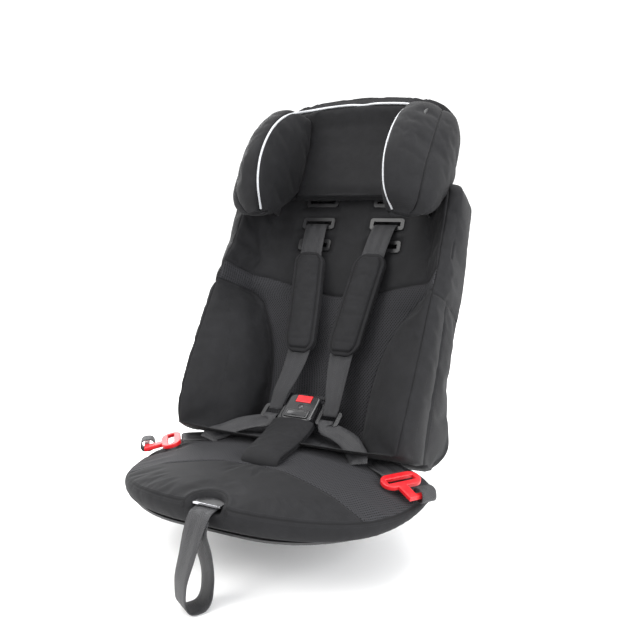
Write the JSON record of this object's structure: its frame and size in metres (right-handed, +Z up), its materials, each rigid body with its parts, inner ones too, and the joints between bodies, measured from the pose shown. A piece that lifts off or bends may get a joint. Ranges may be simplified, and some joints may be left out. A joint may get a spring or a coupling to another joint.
{
  "type": "child car seat",
  "caption": "Child car seat with a padded base and reclined back, height-adjustable winged headrest, belt guides and a shoulder and lap harness closing in a crotch buckle.",
  "frame": {"origin": "on the middle line of the flat face under the base that rests on the vehicle seat, 28.5 mm behind that face's own middle", "axes": "+X across the seat towards the child's left, +Y from front to back, +Z up"},
  "size_m": [0.4542, 0.5754, 0.6142],
  "materials": {
    "mat_rubber": "ribbed anti-slip sheet",
    "shell_plastic": "moulded black, fine texture",
    "cover_fabric": "smooth charcoal knit over foam",
    "mesh_fabric": "open spacer mesh",
    "piping": "satin silver-grey piping",
    "webbing": "woven polyester webbing",
    "harness_webbing": "woven polyester webbing, satin",
    "black_plastic": "semi-gloss black",
    "steel": "plated steel",
    "red_plastic": "glossy red"
  },
  "bodies": {
    "base": {"anti_slip_mat": "mat_rubber", "underside_cover": "shell_plastic", "base_shell": "shell_plastic", "cover_screws": "steel", "seat_cushion": "cover_fabric", "base_hinge_brackets": "steel", "hinge_pins": "steel", "crotch_anchor_bar": "steel", "crotch_anchor_webbing": "webbing", "adjuster_housing": "black_plastic", "adjuster_pin": "steel", "lap_strap_left": "webbing", "lap_strap_right": "webbing", "lap_strap_anchors": "webbing", "belt_guide_webbing_left": "webbing", "belt_guide_webbing_right": "webbing"},
    "backrest": {"back_shell": "shell_plastic", "back_rear_cover": "cover_fabric", "back_upper_pad": "cover_fabric", "back_mesh_pad": "mesh_fabric", "bolster_left": "cover_fabric", "bolster_right": "cover_fabric", "side_panel_left": "cover_fabric", "side_panel_right": "cover_fabric", "upper_side_pads": "cover_fabric", "harness_slot_bezels": "black_plastic", "back_hinge_arms": "steel", "headrest_guide_sleeves": "shell_plastic", "harness_yoke": "steel", "rear_harness_straps": "webbing", "rear_adjust_strap": "webbing", "shoulder_strap_left": "harness_webbing", "shoulder_strap_right": "harness_webbing", "shoulder_pad_left": "cover_fabric", "shoulder_pad_right": "cover_fabric"},
    "headrest": {"headrest_shell": "shell_plastic", "headrest_posts": "steel", "headrest_rear_cover": "shell_plastic", "head_pad": "cover_fabric", "headrest_wing_left": "cover_fabric", "headrest_wing_right": "cover_fabric", "headrest_piping": "piping"},
    "headrest_handle": {"headrest_release_handle": "black_plastic"},
    "crotch_buckle": {"crotch_strap": "webbing", "crotch_pad": "cover_fabric", "buckle_rear_shell": "black_plastic", "buckle_front_shell": "black_plastic", "buckle_spring": "steel", "buckle_latch": "steel", "buckle_strap_bar": "steel"},
    "buckle_button": {"buckle_button": "red_plastic"},
    "tongue_left": {"tongue_left": "black_plastic"},
    "tongue_right": {"tongue_right": "black_plastic"},
    "adjuster_lever": {"adjuster_lever": "black_plastic", "adjuster_metal_edge": "steel"},
    "adjuster_strap": {"adjuster_strap": "webbing"},
    "belt_guide_left": {"belt_guide_left": "red_plastic"},
    "belt_guide_right": {"belt_guide_right": "red_plastic"}
  },
  "joints": [
    {"name": "backrest_tilt", "type": "hinge", "parent": "base", "child": "backrest", "pos_m": [0, 0.128, 0.015], "axis": [1, 0, 0], "range_deg": [-12, 4], "deforming": ["shoulder_strap_left", "shoulder_strap_right", "lap_strap_left", "lap_strap_right"]},
    {"name": "headrest_height", "type": "slide", "parent": "backrest", "child": "headrest", "axis": [0, 0.4462, 0.8949], "range_m": [0, 0.09]},
    {"name": "headrest_release", "type": "slide", "parent": "headrest", "child": "headrest_handle", "axis": [0, 0.4462, 0.8949], "range_m": [0, 0.006], "stiffness_N_per_m": 900},
    {"name": "crotch_swing", "type": "hinge", "parent": "base", "child": "crotch_buckle", "pos_m": [0, -0.0273, 0.0525], "axis": [1, 0, 0], "range_deg": [0, 35], "deforming": ["shoulder_strap_left", "shoulder_strap_right", "lap_strap_left", "lap_strap_right"]},
    {"name": "buckle_release", "type": "slide", "parent": "crotch_buckle", "child": "buckle_button", "axis": [0, 0.515, -0.8572], "range_m": [0, 0.0035], "stiffness_N_per_m": 1200, "deforming": ["buckle_spring"]},
    {"name": "tongue_left_release", "type": "slide", "parent": "crotch_buckle", "child": "tongue_left", "axis": [0, 0.8572, 0.515], "range_m": [0, 0.022], "deforming": ["shoulder_strap_left", "shoulder_strap_right", "lap_strap_left", "lap_strap_right"]},
    {"name": "tongue_right_release", "type": "slide", "parent": "crotch_buckle", "child": "tongue_right", "axis": [0, 0.8572, 0.515], "range_m": [0, 0.022], "deforming": ["shoulder_strap_left", "shoulder_strap_right", "lap_strap_left", "lap_strap_right"]},
    {"name": "adjuster_lever_lift", "type": "hinge", "parent": "base", "child": "adjuster_lever", "pos_m": [0, -0.122, 0.0372], "axis": [-1, 0, 0], "range_deg": [0, 6], "stiffness_Nm_per_rad": 0.15},
    {"name": "adjuster_pull", "type": "slide", "parent": "base", "child": "adjuster_strap", "axis": [0, -1, 0], "range_m": [0, 0.04]},
    {"name": "belt_guide_left_swing", "type": "hinge", "parent": "base", "child": "belt_guide_left", "pos_m": [0.17302, 0.01937, 0.03787], "axis": [-0.61, -0.7924, 0], "range_deg": [0, 70]},
    {"name": "belt_guide_right_swing", "type": "hinge", "parent": "base", "child": "belt_guide_right", "pos_m": [-0.17302, 0.01937, 0.03787], "axis": [-0.61, 0.7924, 0], "range_deg": [0, 70]}
  ]
}
